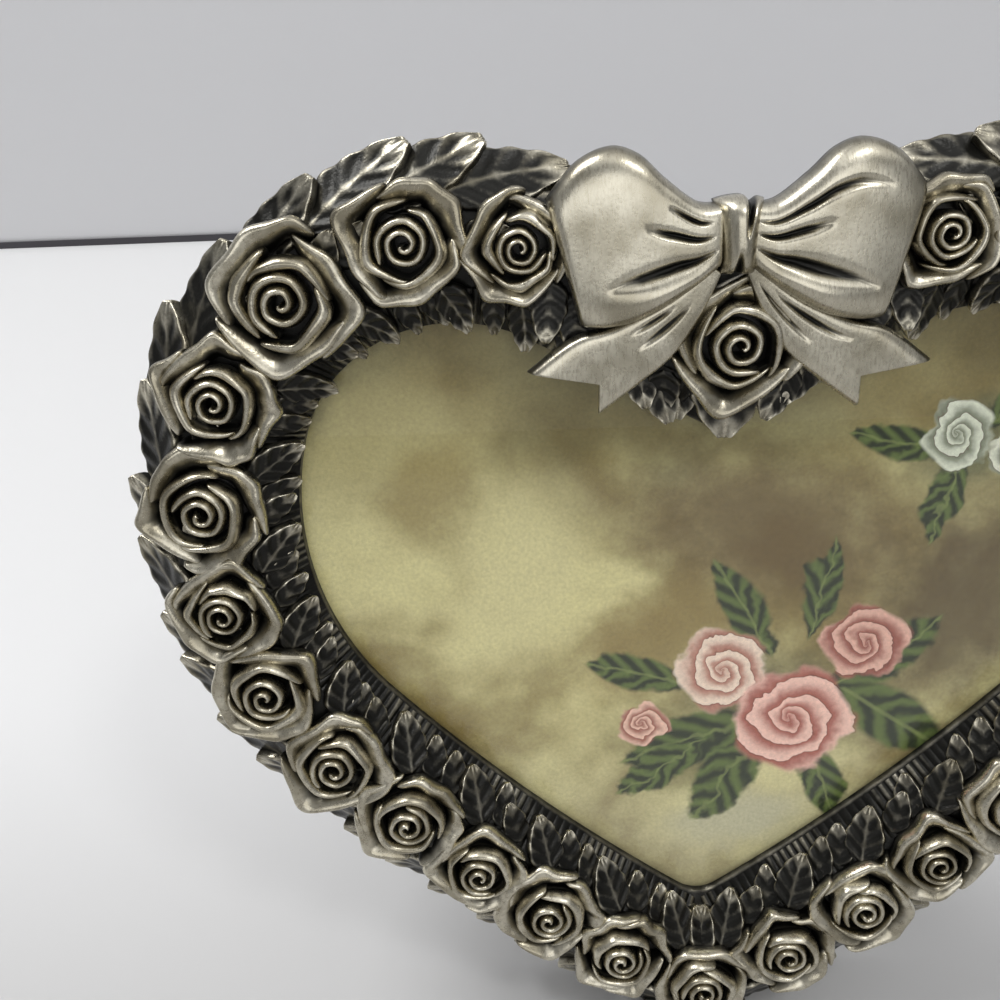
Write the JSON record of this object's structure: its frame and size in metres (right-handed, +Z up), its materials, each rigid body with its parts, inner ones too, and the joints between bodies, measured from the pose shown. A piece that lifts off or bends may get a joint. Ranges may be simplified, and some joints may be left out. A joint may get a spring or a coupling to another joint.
{
  "type": "heart shaped photo frame",
  "caption": "Heart shaped picture frame with a cast garland of roses and leaves, a ribbon bow, glass and a velvet back on a hinged easel leg.",
  "frame": {"origin": "middle of the small level foot cut on the heart's tip, on the surface that the frame stands on", "axes": "+Z up, +X to the viewer's right across the face, +Y away from the viewer, so the face looks along -Y and leans back"},
  "size_m": [0.1626, 0.0688, 0.1368],
  "materials": {
    "antiqued_pewter": "antiqued pewter: dark patina in the recesses, brushed bright on the high spots",
    "glass": "clear float glass",
    "print_paper": "matt tinted print",
    "grey_card": "uncoated grey card",
    "fibreboard": "raw fibreboard",
    "black_velvet": "flocked velvet paper",
    "black_satin": "satin ribbon",
    "zinc_plated_steel": "bright zinc plating"
  },
  "bodies": {
    "frame": {"wreath_casting": "antiqued_pewter", "bow_casting": "antiqued_pewter", "bow_screws": "zinc_plated_steel", "glass_pane": "glass", "picture_print": "print_paper", "filler_card": "grey_card", "back_board": "fibreboard", "back_velvet": "black_velvet", "back_staple": "zinc_plated_steel", "hinge_fixed_leaf": "zinc_plated_steel", "hinge_fixed_rivets": "zinc_plated_steel", "hinge_pin": "zinc_plated_steel", "turn_button_screws": "zinc_plated_steel", "stay_ribbon": "black_satin"},
    "easel": {"easel_board": "fibreboard", "easel_velvet": "black_velvet", "easel_staple": "zinc_plated_steel", "hinge_moving_leaf": "zinc_plated_steel", "hinge_moving_rivets": "zinc_plated_steel"},
    "turn_button_1": {"turn_button_1": "zinc_plated_steel"},
    "turn_button_2": {"turn_button_2": "zinc_plated_steel"},
    "turn_button_3": {"turn_button_3": "zinc_plated_steel"},
    "turn_button_4": {"turn_button_4": "zinc_plated_steel"}
  },
  "joints": [
    {"name": "easel_hinge", "type": "hinge", "parent": "frame", "child": "easel", "pos_m": [0, 0.02686, 0.08246], "axis": [1, 0, 0], "range_deg": [-33, 0], "deforming": ["stay_ribbon"]},
    {"name": "turn_button_1_swivel", "type": "hinge", "parent": "frame", "child": "turn_button_1", "pos_m": [-0.03437, 0.01362, 0.03652], "axis": [0, -0.9659, 0.2588], "range_deg": [-90, 90]},
    {"name": "turn_button_2_swivel", "type": "hinge", "parent": "frame", "child": "turn_button_2", "pos_m": [0.03437, 0.01362, 0.03652], "axis": [0, -0.9659, 0.2588], "range_deg": [-90, 90]},
    {"name": "turn_button_3_swivel", "type": "hinge", "parent": "frame", "child": "turn_button_3", "pos_m": [-0.05839, 0.03181, 0.10442], "axis": [0, -0.9659, 0.2588], "range_deg": [-90, 90]},
    {"name": "turn_button_4_swivel", "type": "hinge", "parent": "frame", "child": "turn_button_4", "pos_m": [0.05839, 0.03181, 0.10442], "axis": [0, -0.9659, 0.2588], "range_deg": [-90, 90]}
  ]
}
